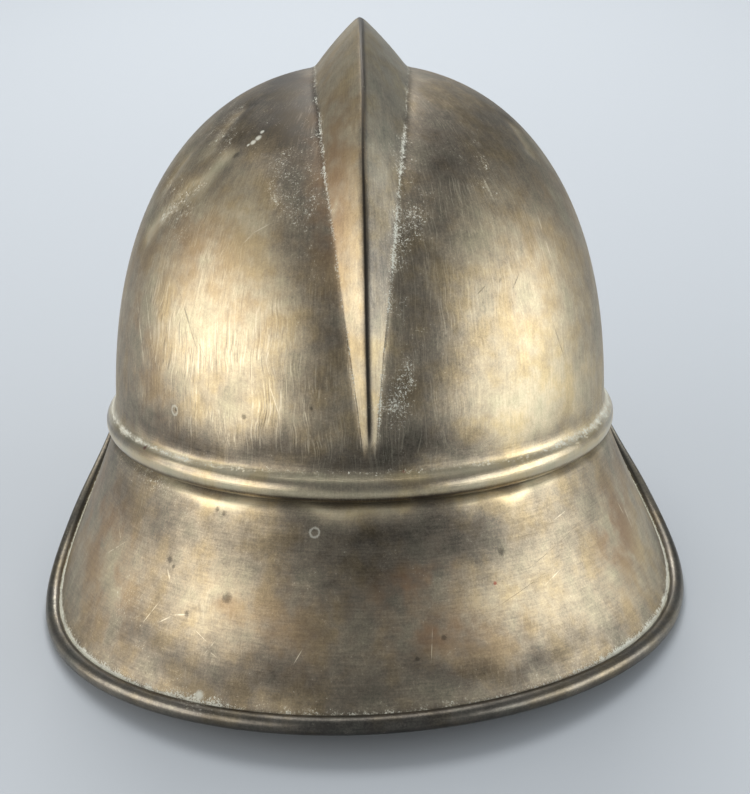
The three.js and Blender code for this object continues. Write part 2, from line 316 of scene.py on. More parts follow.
# How the upright helmet is turned and moved to stand on the guard's two corners and the peak

def standing_matrix():
    guard, peak = (flared_loops(piece, piece["columns"], piece["rows"], FRAME_ROLL_STEPS,
                                FRAME_CROWDING)[0].reshape(-1, 3) for piece in (GUARD, PEAK))
    turn = Matrix.Identity(3)
    for _ in range(STANDING_ROUNDS):
        lowest = []
        for points in (guard[guard[:, 0] < 0], guard[guard[:, 0] > 0], peak):
            turned = points @ np.array(turn).T
            lowest.append(Vector(turned[turned[:, 2].argmin()]))
        normal = (lowest[1] - lowest[0]).cross(lowest[2] - lowest[0]).normalized()
        if normal.z < 0:
            normal.negate()
        turn = normal.rotation_difference(Vector((0, 0, 1))).to_matrix() @ turn
    turned = np.concatenate([guard, peak]) @ np.array(turn).T
    low, high = turned.min(0), turned.max(0)
    shift = Matrix.Translation((-(low[0] + high[0]) / 2, -(low[1] + high[1]) / 2, -low[2]))
    return shift @ turn.to_4x4()


STANDING = standing_matrix()


# Wear, with painted light and shade in some tone rows. Each row is a cloud on the rear of the upright
# helmet, in millimetres: its middle across and up, its half-width across and up, and its strength.

SKULL_TONES = [
    (-26, 120, 15, 24, -0.55),
    # These three rows darken the top beside the comb: partly tarnish, partly painted shade over the top
    # lamp's reflection
    (-32, 134, 26, 12, -0.5),
    (-22, 130, 14, 12, -0.8),
    (32, 134, 26, 12, -0.1),
    (-25, 88, 10, 26, -0.3),
    (-38, 88, 16, 20, 0.75),
    (-32, 48, 10, 20, 0.25),
    # Painted highlight: the right-hand highlight drawn down towards the bead
    (62, 20, 28, 16, 0.95),
    (38, 88, 14, 18, 0.4),
    (-15, 52, 8, 26, -0.4),
    (27, 118, 15, 24, -0.55),
    (27, 86, 13, 28, -0.5),
    (20, 52, 13, 26, -0.55),
    (14, 24, 16, 16, -0.5),
    (-6, 13, 46, 7, -0.75),
    (34, 14, 30, 8, -0.45),
    (-72, 14, 16, 7, -0.7),
    (-50, 10, 30, 4, -0.45),
    (64, 9, 20, 3, -0.4),
    (-52, 126, 22, 16, -0.3),
    (46, 126, 24, 20, -0.3),
    (-50, 56, 22, 32, 0.5),
    (-70, 64, 16, 26, 0.3),
    (-42, 26, 20, 9, 0.35),
    (58, 44, 24, 28, 0.4),
    (74, 60, 15, 30, 0.35),
    (-64, 104, 9, 20, 0.35),
]
SKULL_WARMTHS = [
    (-60, 86, 24, 20, 0.6),
    (-44, 60, 10, 12, 0.35),
    (-84, 40, 12, 30, 0.4),
    (70, 80, 18, 24, 0.3),
    (-10, 112, 8, 34, 0.9),
]
SKULL_CRUSTS = [
    (-27, 104, 8, 14, 0.42),
    (-17, 100, 5, 30, 0.25),
    (11, 34, 6, 12, 0.5),
    (17, 93, 6, 14, 0.4),
    (13, 64, 5, 30, 0.25),
    (48, 101, 4, 10, 0.3),
    (43, 114, 9, 10, 0.2),
    (12, 118, 6, 10, 0.3),
    (-50, 122, 12, 9, 0.3),
    (-72, 94, 8, 14, 0.3),
]
GUARD_TONES = [
    (-6, -25, 40, 12, -0.48),
    (-18, -13, 28, 3, -0.35),
    (-30, -21, 20, 3, -0.25),
    # Painted light just under the bead in the middle, against the bead's shade: this row and the next
    (-4, -6, 40, 2, 0.7),
    (-4, -10, 44, 4, 0.3),
    (36, -22, 24, 10, -0.4),
    (2, -14, 60, 5, -0.4),
    (48, -64, 30, 4, -0.75),
    (-48, -64, 34, 8, -0.7),
    (-88, -24, 13, 11, -0.4),
    (-84, -60, 22, 8, -0.3),
    (104, -28, 12, 16, -0.05),
    (-60, -42, 26, 22, 0.45),
    # Painted light just under the bead on the left, against the bead's shade: this row and the next
    (-54, -12, 28, 5, 0.3),
    (-50, -6, 36, 2.2, 1.2),
    (60, -36, 28, 20, 0.5),
    # Painted light just under the bead on the right, against the bead's shade: this row and the next
    (64, -12, 26, 5, 0.3),
    (60, -6, 36, 2.2, 1.2),
    (86, -52, 18, 14, 0.3),
    (108, -40, 14, 24, 0.8),
    (-106, -44, 14, 20, 0.4),
]
GUARD_WARMTHS = [
    (102, -35, 10, 17, 1.0),
    (14, -34, 13, 7, 0.9),
    (22, -50, 12, 6, 0.7),
    (-53, -40, 6, 7, 0.6),
    (-104, -38, 13, 24, 0.75),
    (-34, -48, 20, 12, 0.4),
    (36, -52, 20, 10, 0.4),
]
GUARD_CRUSTS = [
    (-80, -9, 20, 6, 0.4),
    (-90, -52, 12, 16, 0.25),
    (-64, -72, 12, 5, 0.4),
]


# Where fine scratches are thick, as clouds
SKULL_SCRATCHES = [
    (-56, 34, 34, 30, 1.0),
    (-30, 30, 14, 26, 0.5),
    (-74, 90, 20, 30, 0.5),
    (54, 60, 34, 40, 0.2),
    (34, 104, 20, 24, 0.2),
]
GUARD_SCRATCHES = [
    (-62, -48, 12, 14, 0.9),
    (-94, -30, 22, 24, 0.7),
    (-66, -14, 30, 8, 0.6),
    (70, -36, 40, 24, 0.4),
    (0, -60, 60, 16, 0.35),
]


# Single long scratches on the rear: both ends across and up, half-width, kind
SKULL_LINES = [
    (-69, 66, -60, 40, 0.15, "dark"),
    (-66, 58, -55, 36, 0.12, "dark"),
    (-72, 74, -63, 50, 0.12, "dark"),
    (-88, 62, -84, 30, 0.18, "pale"),
    (-84, 66, -80, 36, 0.13, "pale"),
    (-46, 84, -40, 90, 0.14, "pale"),
    (-41, 89.5, -33, 94, 0.14, "pale"),
    (-36, 40, -31, 24, 0.14, "pale"),
    (-24, 36, -20, 16, 0.12, "pale"),
    (41, 67, 46, 71, 0.22, "dark"),
    (50, 70, 52, 73, 0.4, "dark"),
    (55, 66, 59, 73, 0.16, "dark"),
    (66, 96, 74, 70, 0.14, "pale"),
    (46, 107, 51, 96, 0.3, "pale"),
    (72, 52, 78, 34, 0.14, "dark"),
]
GUARD_LINES = [
    (-103, -41, -93, -32, 0.11, "pale"),
    (-96, -34, -97, -29, 0.087, "pale"),
    (-80, -54, -74, -50, 0.12, "pale"),
    (-75, -50, -67, -48, 0.16, "pale"),
    (-62, -57, -57, -60, 0.11, "pale"),
    (-57, -54, -62, -60, 0.11, "pale"),
    (-66, -52, -60, -56, 0.087, "pale"),
    (-29, -59, -25, -53, 0.11, "pale"),
    (-90, -61, -77, -44, 0.074, "pale"),
    (-76, -35, -75, -39, 0.19, "pale"),
    (104, -30, 108, -40, 0.12, "pale"),
    (101, -27, 104, -33, 0.099, "pale"),
    (65, -41, 73, -37, 0.099, "pale"),
    (70, -21, 77, -19, 0.099, "pale"),
    (22, -46, 21, -59, 0.099, "pale"),
    (54, -36, 84, -24, 0.074, "dark"),
    (40, -46, 74, -34, 0.074, "dark"),
]


# Small round marks on the rear: middle across and up, radius, kind
SKULL_MARKS = [
    (-72, 22, 1.7, "ring"),
    (-71.5, 22.5, 0.9, "dark"),
    (-45, 25, 1.2, "dark"),
    (-85, 4, 1.2, "russet"),
    (-20, 30, 0.8, "dark"),
    (-47, 115, 2.0, "dark"),
    (-42, 118.5, 0.8, "crust"),
    (-40, 119.5, 1.4, "crust"),
    (-38, 121, 1.5, "crust"),
    (-36.5, 123, 1.0, "crust"),
    (13, 6, 1.0, "russet"),
]
GUARD_MARKS = [
    (-20, -15, 1.7, "ring"),
    (-56, -11, 1.2, "dark"),
    (-53.5, -12, 1.2, "dark"),
    (-85, -71, 0.8, "dark"),
    (-75, -32, 1.7, "dark"),
    (-73.5, -34, 1.0, "dark"),
    (-64, -73, 2.0, "crust"),
    (-68.5, -48, 1.3, "dark"),
    (-53, -40, 2.4, "dark"),
    (49, -26, 1.8, "dark"),
    (46, -36, 0.9, "russet"),
    (26, -51, 1.3, "dark"),
    (16, -57, 1.0, "dark"),
    (15, -76, 1.5, "russet"),
    (10, -76, 1.2, "russet"),
]


def on_skull(x, z):
    """Point of the rear of the dome or of the bead."""
    rise = (max(z, 0) / SKULL_HEIGHT) ** WALL_POWER
    shrink = (1 - rise) ** (1 / CROWN_POWER)
    out = BEAD_RISE * math.sqrt(max(1 - (z / BEAD_HALF_HEIGHT) ** 2, 0))
    across = (x - CROWN_LEAN * z / SKULL_HEIGHT) / (SKULL_HALF_WIDTH + out)
    return (x, -(SKULL_HALF_LENGTH + out) * math.sqrt(max(shrink ** 2 - across ** 2, 0)), z)


def on_guard(x, z):
    """Point of the outer face of the neck guard."""
    drop = (-z + GUARD["askew"] * 0.5 * x / SKULL_HALF_WIDTH) / GUARD["drop"]
    spread = max(drop, 0) ** FLARE_POWER
    across = x / (SKULL_HALF_WIDTH + GUARD["side_reach"] * spread)
    length = SKULL_HALF_LENGTH + GUARD["end_reach"] * spread
    return (x, -length * math.sqrt(max(1 - across ** 2, 0)), z)


def clouds(points, rows):
    """Sum of the clouds, with wandering outlines and weaker on the front."""
    x, y, z = np.moveaxis(points, -1, 0)
    wander = 5 * np.sin(z / 11 + x / 23) + 3 * np.sin(y / 7 - z / 5)
    lift = 4 * np.sin(x / 9 + 2) + 2.5 * np.sin(x / 4.3 + y / 6)
    total = np.zeros_like(x)
    for across, up, half_width, half_height, strength in rows:
        total += (strength * ridge(x + 0.5 * wander, across, half_width)
                  * ridge(z + 0.5 * lift, up, half_height))
    return total * mix(1.0, 0.55, smoothstep(y, -20, 40))


# Meshes

def make_object(name, points, faces, attributes, node, slot):
    """Makes a piece that stands for a CAD node. Points are upright, in millimetres."""
    mesh = bpy.data.meshes.new(name)
    mesh.from_pydata((points * MM).tolist(), [], faces)
    place = mesh.attributes.new("place", "FLOAT_VECTOR", "POINT")
    place.data.foreach_set("vector", (points * MM).astype(np.float32).ravel())
    turn = np.abs(np.arctan2(points[:, 0], -points[:, 1])) * SKULL_HALF_WIDTH
    grain = mesh.attributes.new("grain", "FLOAT_VECTOR", "POINT")
    along = np.stack([turn, points[:, 0], points[:, 2]], -1)
    grain.data.foreach_set("vector", (along * MM).astype(np.float32).ravel())
    attributes = {**attributes, "behind": smoothstep(-points[:, 1], 0, 4)}
    for key, values in attributes.items():
        layer = mesh.attributes.new(key, "FLOAT", "POINT")
        layer.data.foreach_set("value", values.astype(np.float32).ravel())
    mesh.transform(Matrix.Scale(MM, 4) @ STANDING @ Matrix.Scale(1 / MM, 4))
    mesh.update()
    mesh.polygons.foreach_set("use_smooth", [True] * len(mesh.polygons))
    mesh.set_sharp_from_angle(angle=SMOOTH_ANGLE)
    piece = bpy.data.objects.new(name, mesh)
    bpy.context.scene.collection.objects.link(piece)
    mesh.materials.append(MATERIALS[slot])
    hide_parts(node)
    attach(piece, "root")


def tidy_faces(quads):
    """Quads as lists, with repeated corners taken out."""
    faces = []
    for quad in quads.tolist():
        corners = [c for k, c in enumerate(quad) if c != quad[k - 1]]
        if len(corners) > 2:
            faces.append(corners)
    return faces


def grid_quads(grid, flip=False):
    quads = np.stack([grid[:-1, :-1], grid[:-1, 1:], grid[1:, 1:], grid[1:, :-1]], -1).reshape(-1, 4)
    return quads[:, ::-1] if flip else quads


def skull_mesh():
    """Points and faces of the skull, how far each point is inside the comb's foot, and how far it
    is from the crest."""
    turn = np.linspace(0, math.pi, SKULL_TURNS)
    side_half = np.linspace(0, 1, SIDE_COLUMNS + 1)[1:] ** SIDE_CROWDING
    comb = np.concatenate([COMB_SHARES, np.ones(len(side_half))])
    side = np.concatenate([np.zeros(len(COMB_SHARES)), side_half])
    comb = np.concatenate([-comb[::-1], [0], comb])
    side = np.concatenate([-side[::-1], [0], side])
    points, from_foot, crest, quads, edges = [], [], [], [], []
    count = 0
    for inset in (0.0, SHEET):
        grid_points, distance, from_crest = skull_grid(turn, comb, side, inset)
        rows, columns = grid_points.shape[:2]
        index = np.empty((rows, columns), int)
        index[:, 1:-1] = count + np.arange(rows * (columns - 2)).reshape(rows, -1)
        poles = count + rows * (columns - 2)
        index[:, 0], index[:, -1] = poles, poles + 1
        for values, source in ((points, grid_points), (from_foot, distance), (crest, from_crest)):
            inner = source[:, 1:-1]
            values += [inner.reshape(-1, *inner.shape[2:]), source[0, [0, -1]]]
        count = poles + 2
        quads.append(grid_quads(index, flip=inset > 0))
        ring = np.concatenate([index[0], index[-1, -2:0:-1]])
        ring_points = np.concatenate([grid_points[0], grid_points[-1, -2:0:-1]])
        lean = CROWN_LEAN * FAN_HEIGHT / SKULL_HEIGHT
        angle = np.arctan2((ring_points[:, 0] - lean) / (SKULL_HALF_WIDTH - inset),
                           -ring_points[:, 1] / (SKULL_HALF_LENGTH - inset))
        loops = [ring]
        for out, height in bead_section(inset):
            loops.append(count + np.arange(len(ring)))
            points.append(wall_points(-1, angle, height, out, out))
            from_foot.append(np.full(len(ring), BEYOND_COMB))
            crest.append(np.full(len(ring), BEYOND_COMB))
            count += len(ring)
        edges.append(loops)
    loops = np.array(edges[0] + edges[1][::-1])
    loops = np.concatenate([loops, loops[:, :1]], 1)
    quads.append(grid_quads(loops)[:, [0, 3, 2, 1]])
    faces = tidy_faces(np.concatenate(quads))
    return np.concatenate(points), faces, np.concatenate(from_foot), np.concatenate(crest)


def crest_middle(z):
    """Roughly where the crest runs on the rear, across, at a height."""
    return mix(0.5, 2.0, smoothstep(z, 60, 130))


def skull_wear(points, from_foot, crest):
    """The skull's attributes for its material."""
    x, _, z = points.T
    off_bead = smoothstep(z, 13, 24)
    left_of_crest = x < crest_middle(z)

    # Both faces of the comb, and painted shade along its crest, a dark line over its rounded top
    on_comb = smoothstep(from_foot, -0.8, 1.2) * (crest < BEYOND_COMB) * smoothstep(z, 9, 22)
    left_face = mix(0.45, 0.42, smoothstep(z, 70, 110))
    right_face = mix(mix(0.35, -0.25, smoothstep(z, 45, 75)), 0.3, smoothstep(z, 90, 125))
    tone = clouds(points, SKULL_TONES) * (1 - on_comb)
    tone += on_comb * np.where(left_of_crest, left_face, right_face)
    tone -= 0.9 * ridge(crest, 0, 1.3) * off_bead
    crest_width = mix(0.6, 1.5, smoothstep(x - crest_middle(z), -1, 1))
    # Painted shade along the crest, laid into the grime layer as well
    grime_and_shade = 0.9 * ridge(crest, 0, crest_width) * off_bead
    crust = clouds(points, SKULL_CRUSTS) + 0.48 * ridge(from_foot, 0, 0.9) * off_bead

    # The bead, its light and shade painted on: a pale upper slope, a dark line of painted shade, a
    # painted highlight along its crown and a lower lip in painted shade, all weaker in the middle of
    # the rear; the bead darker in the middle of the rear and lighter towards the right, painted light;
    # crust along its top
    bead = smoothstep(-z, -8, -5)
    middle = ridge(x, 0, 44)
    bead_light_and_shade = 0.8 * ridge(z, 4.6, 1.3) - ridge(z, 2.0, 1.3) + 0.6 * ridge(z, -0.8, 1.1)
    bead_light_and_shade = (1 - 0.6 * middle) * bead_light_and_shade - 1.2 * smoothstep(-z, 1.9, 3.3)
    tone = mix(tone, 0.85 + 0.35 * smoothstep(x, 20, 70) - 0.6 * middle + bead_light_and_shade, bead)
    top_line = 6.4 - 1.5 * smoothstep(np.abs(x), 30, 60)
    line_width = 1.2 + 0.8 * smoothstep(x, 45, 90)
    crust += (0.4 + 0.4 * smoothstep(np.abs(x), 40, 90)) * ridge(z, top_line, line_width)
    # Painted shade under the bead's lower edge, and grime above the bead in the middle of the rear
    grime_and_shade += 0.7 * smoothstep(-z, 2.8, 5.0) + 0.35 * ridge(z, 9, 3) * middle

    # The dents: pale in the middle, a painted highlight with a little crust where scuffed, and painted
    # shade above
    scuffs_and_highlights = (dent_depths(points + np.array([0, 0, 1.5])) / DENT_DEPTH) ** 2
    tone += 2.0 * scuffs_and_highlights - 0.7 * dent_depths(points - np.array([0, 0, 3.5])) / DENT_DEPTH
    crust += 0.22 * scuffs_and_highlights

    level = smoothstep(-z, -16, -12)
    return {
        "tone": tone,
        "warmth": clouds(points, SKULL_WARMTHS) * np.where(left_of_crest, 1, 1 - 0.8 * on_comb),
        "crust": crust,
        "grime_and_shade": grime_and_shade,
        "scratched": clouds(points, SKULL_SCRATCHES) * (1 - on_comb) * (1 - level),
        "level": level,
        "polish": bead,
        "cool": 0.2 * bead + on_comb * ~left_of_crest * smoothstep(z, 40, 75),
    }


def make_skull():
    points, faces, from_foot, crest = skull_mesh()
    wear = skull_wear(points, from_foot, crest)
    make_object("skull_brass_shell", points, faces, wear, "skull", "skull_brass")


def flared_faces(piece, count, size, rows):
    """Faces of a flared piece from its closed sections, with both ends capped."""
    index = np.arange(count * size).reshape(count, size)
    closed = np.concatenate([index, index[:, :1]], 1)
    faces = tidy_faces(grid_quads(closed, flip=piece["facing"] < 0))
    for loop, flip in ((index[-1], False), (index[0], True)):
        caps = [[loop[m], loop[m + 1], loop[size - 2 - m], loop[size - 1 - m]] for m in range(rows)]
        caps.append(loop[rows:rows + ROLL_STEPS + 2].tolist())
        for cap in caps:
            corners = [int(c) for c in cap]
            faces.append(corners[::-1] if flip == (piece["facing"] < 0) else corners)
    return faces


def flared_wear(points, from_seam):
    """A flared piece's attributes for its material."""
    x, _, z = points.T
    roll = (from_seam < 0) * 1.0
    sides = smoothstep(np.abs(x), 60, 105)
    roll_tone = mix(-0.9, -0.35, smoothstep(np.abs(x), 30, 95))
    seam = mix(0.6, 1.2, sides) * ridge(from_seam, 0.5, 1.1)
    seam += mix(0.1, 0.3, sides) * ridge(from_seam, 0, 6)
    # Painted shade in the crease where the roll meets the sheet
    crease_shade = ridge(from_seam, -0.7, 0.9) * roll
    return {
        "tone": mix(clouds(points, GUARD_TONES) - 0.22, roll_tone, roll),
        "warmth": clouds(points, GUARD_WARMTHS) * (1 - roll),
        "crust": clouds(points, GUARD_CRUSTS) + seam * (1 - roll),
        # Grime with painted shade: painted shade in the roll's crease, a painted shadow line just under
        # the bead, and the roll's own darkening
        "grime_and_shade": 0.5 * crease_shade + 0.2 * roll + 0.3 * smoothstep(z, -5.8, -4.8),
        "scratched": clouds(points, GUARD_SCRATCHES) * (1 - roll),
        "level": np.ones_like(z),
        "polish": roll,
        "cool": roll,
    }


def make_flared(name, piece, columns, rows, node, slot):
    loops, from_seam = flared_loops(piece, columns, rows, ROLL_STEPS, CROWDING)
    points = loops.reshape(-1, 3)
    faces = flared_faces(piece, *loops.shape[:2], rows)
    make_object(name, points, faces, flared_wear(points, from_seam.ravel()), node, slot)


# Materials

# How far a scratch reaches from its middle, as a share of its length
LINE_REACH = 0.55


class Shading:
    """Builds a tree of shader nodes from values and sockets."""

    def __init__(self, name):
        self.material = bpy.data.materials.new(name)
        self.material.use_nodes = True
        self.tree = self.material.node_tree
        self.shader = self.tree.nodes["Principled BSDF"]

    def feed(self, socket, value):
        if isinstance(value, bpy.types.NodeSocket):
            self.tree.links.new(value, socket)
        else:
            socket.default_value = value

    def total(self, weighted):
        """Sum of the values, each times its weight."""
        result = None
        for value, weight in weighted:
            part = self.scaled(value, weight, 0.0)
            result = part if result is None else self.math("ADD", result, part)
        return result

    def attribute(self, name, output="Fac"):
        node = self.tree.nodes.new("ShaderNodeAttribute")
        node.attribute_name = name
        return node.outputs[output]

    def math(self, operation, first, second=0.0):
        node = self.tree.nodes.new("ShaderNodeMath")
        node.operation = operation
        self.feed(node.inputs[0], first)
        self.feed(node.inputs[1], second)
        return node.outputs["Value"]

    def times(self, first, second):
        return self.math("MULTIPLY", first, second)

    def swaying(self, value, reach):
        """The value, times the reach and centred on 0 if its own middle is a half."""
        return self.scaled(value, reach, -reach / 2)

    def scaled(self, value, factor, shift):
        socket = self.math("MULTIPLY_ADD", value, factor)
        socket.node.inputs[2].default_value = shift
        return socket

    def wobbled(self, vector, place, scale, reach):
        """The vector, moved by up to about half the reach."""
        texture = self.noise(place, scale, 1).node
        node = self.tree.nodes.new("ShaderNodeVectorMath")
        node.operation = "MULTIPLY_ADD"
        self.feed(node.inputs[0], texture.outputs["Color"])
        node.inputs[1].default_value = (reach, reach, 0.0)
        self.feed(node.inputs[2], vector)
        return node.outputs["Vector"]

    def stretched(self, vector, scale, turn=(0.0, 0.0, 0.0)):
        node = self.tree.nodes.new("ShaderNodeMapping")
        self.feed(node.inputs["Vector"], vector)
        node.inputs["Rotation"].default_value = turn
        node.inputs["Scale"].default_value = scale
        return node.outputs["Vector"]

    def noise(self, vector, scale, detail=2.0, roughness=0.5, distortion=0.0):
        node = self.tree.nodes.new("ShaderNodeTexNoise")
        self.feed(node.inputs["Vector"], vector)
        node.inputs["Scale"].default_value = scale
        node.inputs["Detail"].default_value = detail
        node.inputs["Roughness"].default_value = roughness
        node.inputs["Distortion"].default_value = distortion
        return node.outputs["Fac"]

    def remap(self, value, low, high, new_low=0.0, new_high=1.0):
        node = self.tree.nodes.new("ShaderNodeMapRange")
        node.interpolation_type = "SMOOTHSTEP"
        for socket, number in zip(node.inputs[:5], (value, low, high, new_low, new_high)):
            self.feed(socket, number)
        return node.outputs["Result"]

    def ramp(self, value, stops):
        node = self.tree.nodes.new("ShaderNodeValToRGB")
        self.feed(node.inputs["Fac"], value)
        elements = node.color_ramp.elements
        while len(elements) < len(stops):
            elements.new(0.5)
        for element, (position, color) in zip(elements, stops):
            element.position = position
            element.color = (*color, 1)
        return node.outputs["Color"]

    def blend(self, share, first, second):
        node = self.tree.nodes.new("ShaderNodeMix")
        node.data_type = "RGBA"
        self.feed(node.inputs[0], share)
        for socket, color in ((node.inputs[6], first), (node.inputs[7], second)):
            self.feed(socket, (*color, 1) if isinstance(color, tuple) else color)
        return node.outputs[2]

    def between_vectors(self, share, first, second):
        node = self.tree.nodes.new("ShaderNodeMix")
        node.data_type = "VECTOR"
        for socket, value in zip((node.inputs[0], node.inputs[4], node.inputs[5]), (share, first, second)):
            self.feed(socket, value)
        return node.outputs[1]

    def tinted(self, share, color, tint):
        socket = self.blend(share, color, tint)
        socket.node.blend_type = "MULTIPLY"
        return socket

    def nearest(self, readings):
        """The smallest of the readings."""
        least = readings[0]
        for reading in readings[1:]:
            least = self.math("MINIMUM", reading, least)
        return least

    def from_line(self, place, x1, z1, x2, z2, half_width):
        """0 at the middle of a scratch on the rear, 1 along its edge, which tapers to both ends."""
        node = self.tree.nodes.new("ShaderNodeMapping")
        node.vector_type = "TEXTURE"
        self.feed(node.inputs["Vector"], place)
        length = math.hypot(x2 - x1, z2 - z1)
        node.inputs["Location"].default_value = ((x1 + x2) / 2 * MM, 0.0, (z1 + z2) / 2 * MM)
        node.inputs["Rotation"].default_value = (0.0, -math.atan2(z2 - z1, x2 - x1), 0.0)
        node.inputs["Scale"].default_value = (length * LINE_REACH * MM, 1e6, half_width * 2 * MM)
        size = self.tree.nodes.new("ShaderNodeVectorMath")
        size.operation = "LENGTH"
        self.feed(size.inputs[0], node.outputs["Vector"])
        return size.outputs["Value"]

    def distance(self, vector, point):
        node = self.tree.nodes.new("ShaderNodeVectorMath")
        node.operation = "DISTANCE"
        self.feed(node.inputs[0], vector)
        node.inputs[1].default_value = point
        return node.outputs["Value"]

    def bump(self, height, strength, reach):
        node = self.tree.nodes.new("ShaderNodeBump")
        self.feed(node.inputs["Height"], height)
        node.inputs["Strength"].default_value = strength
        node.inputs["Distance"].default_value = reach
        return node.outputs["Normal"]


# Brass from the darkest tarnish to the brightest metal
BRASS_STOPS = [
    (0.0, (0.070, 0.060, 0.048)),
    (0.3, (0.175, 0.148, 0.112)),
    (0.5, (0.30, 0.25, 0.178)),
    (0.75, (0.48, 0.40, 0.27)),
    (1.0, (0.66, 0.56, 0.38)),
]

# Tints that multiply the brass
GOLD = (1.0, 0.94, 0.80)
OLIVE = (0.92, 0.96, 0.95)
COOL = (0.90, 0.95, 1.04)

# Colours that cover it
RUSSET = (0.26, 0.155, 0.09)
REDDISH = (0.25, 0.05, 0.035)
CRUST = (0.68, 0.67, 0.57)
PALE = (0.80, 0.71, 0.53)
DARK_LINE = (0.085, 0.07, 0.05)
# Grime, also standing for painted shade along the crest, under the bead and in creases
GRIME_AND_SHADE = (0.03, 0.026, 0.021)

# Closeness of the brushing along the grain's axes, level and upright
LEVEL = (90, 60, 1300)
UPRIGHT = (900, 400, 110)

# How much each texture moves the brass's tone, and how much it raises the surface
TONE_SHARES = {"broad": 0.6, "mottle": 0.42, "brushed": 0.26, "speckle": 0.55}
RELIEF_SHARES = {"brushed": 0.5, "mottle": 0.8, "speckle": 0.3, "crust": 0.7}
RELIEF = 0.0002
RELIEF_STRENGTH = 0.4

# How much of the brass each layer covers where it is full, and how strong the round marks are
WARMTH_COVER, PALE_COVER, DARK_COVER, GRIME_AND_SHADE_COVER, CRUST_COVER = 0.7, 0.55, 0.6, 0.9, 0.88
MARK_STRENGTHS = {"dark": 0.6, "ring": 0.42, "crust": 0.75, "russet": 0.7}
CRUST_METAL_LOSS = 0.85

# Roughness of the dullest and of the brightest brass, and what polish and crust change in it
DULL_ROUGHNESS, BRIGHT_ROUGHNESS = 0.52, 0.45
POLISH, CRUST_ROUGHNESS = 0.17, 0.3


def surface_textures(shade, brushing):
    place = shade.attribute("place", "Vector")
    grain = shade.attribute("grain", "Vector")
    along = shade.between_vectors(shade.attribute("level"), shade.stretched(grain, brushing),
                                  shade.stretched(grain, LEVEL))
    return {
        "place": place,
        "grain": grain,
        "broad": shade.noise(place, 26, 4, 0.62, 0.5),
        "mottle": shade.noise(place, 150, 4, 0.7),
        "speckle": shade.noise(place, 1150, 3, 0.95),
        "patches": shade.noise(place, 62, 3, 0.6),
        "brushed": shade.noise(along, 1.0, 2, 0.7),
    }


def tarnish(shade, textures):
    """Tone and colour of the brass under its scratches and residue."""
    tone = shade.scaled(shade.attribute("tone"), 0.42, 0.5)
    for texture, share in TONE_SHARES.items():
        tone = shade.math("ADD", tone, shade.swaying(textures[texture], share))
    color = shade.ramp(tone, BRASS_STOPS)
    patches = textures["patches"]
    color = shade.tinted(shade.remap(patches, 0.44, 0.68), color, GOLD)
    color = shade.tinted(shade.remap(patches, 0.5, 0.3), color, OLIVE)
    color = shade.tinted(shade.attribute("cool"), color, COOL)
    warmth = shade.times(shade.attribute("warmth"), shade.remap(patches, 0.36, 0.6))
    return tone, shade.blend(shade.times(warmth, WARMTH_COVER), color, RUSSET)


def scratches(shade, textures, lines, threads, strength):
    """Shares of the pale and of the dark scratches, fine threads and single long lines together."""
    place = textures["place"]
    wavy = shade.wobbled(textures["grain"], place, 60, 0.006)
    broken = shade.times(shade.remap(textures["broad"], 0.4, 0.58, 0.1, 1.0),
                         shade.scaled(shade.attribute("scratched"), 0.85, 0.15))
    worn = shade.times(shade.remap(textures["mottle"], 0.36, 0.56), shade.attribute("behind"))
    shares = {}
    for kind, rows in threads.items():
        layers = [shade.noise(shade.stretched(wavy, closeness, turn), 1.0, 1, 0.4)
                  for turn, closeness in rows]
        first, second = (shade.times(shade.remap(layer, 0.6, 0.7), broken) for layer in layers)
        shares[kind] = shade.times(shade.math("MAXIMUM", first, second), strength)
        readings = [shade.from_line(place, *row[:5]) for row in lines if row[5] == kind]
        if readings:
            long_lines = shade.remap(shade.nearest(readings), 0.3, 1.0, 1.0, 0.0)
            shares[kind] = shade.math("MAXIMUM", shares[kind], shade.times(long_lines, worn))
    return shares


def add_marks(shade, textures, marks, locate, kind, share):
    """The share, or the round marks of a kind where they are stronger."""
    readings = []
    for x, z, radius, kind_here in marks:
        if kind_here == kind:
            away = shade.distance(textures["place"], [value * MM for value in locate(x, z)])
            readings.append(shade.math("DIVIDE", away, radius * MM))
    if not readings:
        return share
    near = shade.math("ADD", shade.nearest(readings), shade.swaying(textures["speckle"], 1.0))
    if kind == "ring":
        near = shade.math("ABSOLUTE", shade.scaled(near, 3.6, -3.6))
    marked = shade.times(shade.remap(near, 0.4, 1.2, 1.0, 0.0), MARK_STRENGTHS[kind])
    return marked if share is None else shade.math("MAXIMUM", share, marked)


